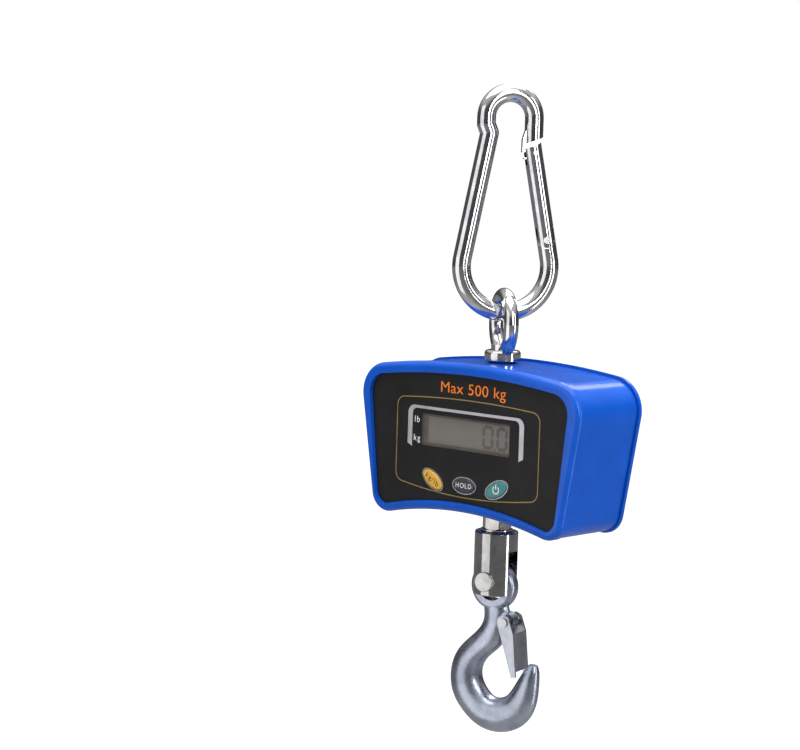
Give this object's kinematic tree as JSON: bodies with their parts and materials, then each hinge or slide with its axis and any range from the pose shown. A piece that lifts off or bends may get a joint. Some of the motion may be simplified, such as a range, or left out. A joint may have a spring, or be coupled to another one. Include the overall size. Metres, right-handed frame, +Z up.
{
  "type": "crane scale",
  "caption": "Hanging crane scale: snap hook and lifting eye above a blue display housing, forged swivel hook with safety latch below.",
  "frame": {"origin": "inside top of the snap hook's head, on the load line, where the scale hangs", "axes": "+Z up along the load line, the display faces -Y, +X to the right of the display"},
  "size_m": [0.1732, 0.0605, 0.386],
  "materials": {
    "snap_hook_steel": "bright zinc-plated round bar",
    "gate_steel": "bright zinc-plated round bar",
    "pin_steel": "plain steel",
    "spring_steel": "drawn wire",
    "eye_chrome": "polished and plated forging",
    "rubber_black": "moulded rubber",
    "housing_blue": "glossy moulded blue plastic",
    "cover_blue": "glossy moulded blue plastic",
    "screw_zinc": "zinc-plated pan heads",
    "panel_black": "satin black panel film",
    "window_clear": "clear lens",
    "trim_silver": "satin silver",
    "rim_silver": "bright rims",
    "lcd_grey": "grey-green liquid crystal cell",
    "holder_white": "white moulded plastic",
    "board_green": "green solder mask",
    "chip_black": "moulded packages",
    "switch_black": "switch bodies",
    "cell_steel": "machined steel",
    "gauge_silver": "sealing plates",
    "lead_grey": "insulated lead",
    "tray_black": "moulded tray",
    "battery_wrap": "printed steel cans",
    "contact_nickel": "nickel-plated contacts",
    "door_blue": "moulded door",
    "bolt_steel": "bright steel",
    "nut_zinc": "zinc-plated nut",
    "bronze": "bronze",
    "clevis_chrome": "polished chrome",
    "clevis_pin_steel": "plain turned steel",
    "hook_zinc": "zinc-plated forging",
    "latch_zinc": "zinc-plated sheet",
    "button_yellow": "yellow key",
    "button_grey": "grey key",
    "button_teal": "teal key"
  },
  "bodies": {
    "snap_hook": {"carabiner_body": "snap_hook_steel"},
    "gate": {"carabiner_gate": "gate_steel", "gate_rivet": "pin_steel", "gate_pin": "pin_steel", "gate_spring": "spring_steel"},
    "scale": {"lifting_eye": "eye_chrome", "eye_seal": "rubber_black", "front_housing": "housing_blue", "rear_cover": "cover_blue", "cover_seal": "rubber_black", "cover_screws": "screw_zinc", "faceplate": "panel_black", "display_window": "window_clear", "display_trim": "trim_silver", "button_rims": "rim_silver", "lcd_glass": "lcd_grey", "lcd_holder": "holder_white", "main_board": "board_green", "board_chips": "chip_black", "board_screws": "screw_zinc", "tact_switches": "switch_black", "load_cell": "cell_steel", "gauge_cover": "gauge_silver", "cell_lead": "lead_grey", "battery_box": "tray_black", "battery_cells": "battery_wrap", "battery_contacts": "contact_nickel", "battery_lead": "lead_grey", "battery_door": "door_blue", "door_screw": "screw_zinc", "swivel_bolt": "bolt_steel", "bolt_sleeve": "bolt_steel", "bottom_seal": "rubber_black", "lock_nut": "nut_zinc", "nut_washer": "nut_zinc", "thrust_washer": "bronze"},
    "units_key": {"units_button": "button_yellow"},
    "function_key": {"function_button": "button_grey"},
    "power_key": {"power_button": "button_teal"},
    "fork": {"clevis": "clevis_chrome", "clevis_pin": "clevis_pin_steel"},
    "hook": {"hook": "hook_zinc", "latch_rivet": "pin_steel", "latch_spring": "spring_steel"},
    "latch": {"latch": "latch_zinc"}
  },
  "joints": [
    {"name": "gate_hinge", "type": "hinge", "parent": "snap_hook", "child": "gate", "pos_m": [0.01263, 0.01945, -0.08], "axis": [0.8387, -0.5446, 0], "range_deg": [0, 17], "stiffness_Nm_per_rad": 0.2, "springref_deg": -20.05},
    {"name": "eye_swing", "type": "hinge", "parent": "snap_hook", "child": "scale", "pos_m": [0, 0, -0.123], "axis": [0.5446, 0.8387, 0], "range_deg": [-45, 45]},
    {"name": "units_press", "type": "slide", "parent": "scale", "child": "units_key", "axis": [0, 1, 0], "range_m": [0, 0.0006], "stiffness_N_per_m": 900, "springref_m": -0.0006},
    {"name": "function_press", "type": "slide", "parent": "scale", "child": "function_key", "axis": [0, 1, 0], "range_m": [0, 0.0006], "stiffness_N_per_m": 900, "springref_m": -0.0006},
    {"name": "power_press", "type": "slide", "parent": "scale", "child": "power_key", "axis": [0, 1, 0], "range_m": [0, 0.0006], "stiffness_N_per_m": 900, "springref_m": -0.0006},
    {"name": "hook_swivel", "type": "hinge", "parent": "scale", "child": "fork", "pos_m": [0, 0, -0.258], "axis": [0, 0, 1], "continuous": true},
    {"name": "hook_swing", "type": "hinge", "parent": "fork", "child": "hook", "pos_m": [0, 0, -0.2825], "axis": [-0.2079, 0.9781, 0], "range_deg": [-60, 60]},
    {"name": "latch_hinge", "type": "hinge", "parent": "hook", "child": "latch", "pos_m": [0.01076, 0.00229, -0.3064], "axis": [-0.2079, 0.9781, 0], "range_deg": [0, 38], "stiffness_Nm_per_rad": 0.03, "springref_deg": -28.65}
  ]
}
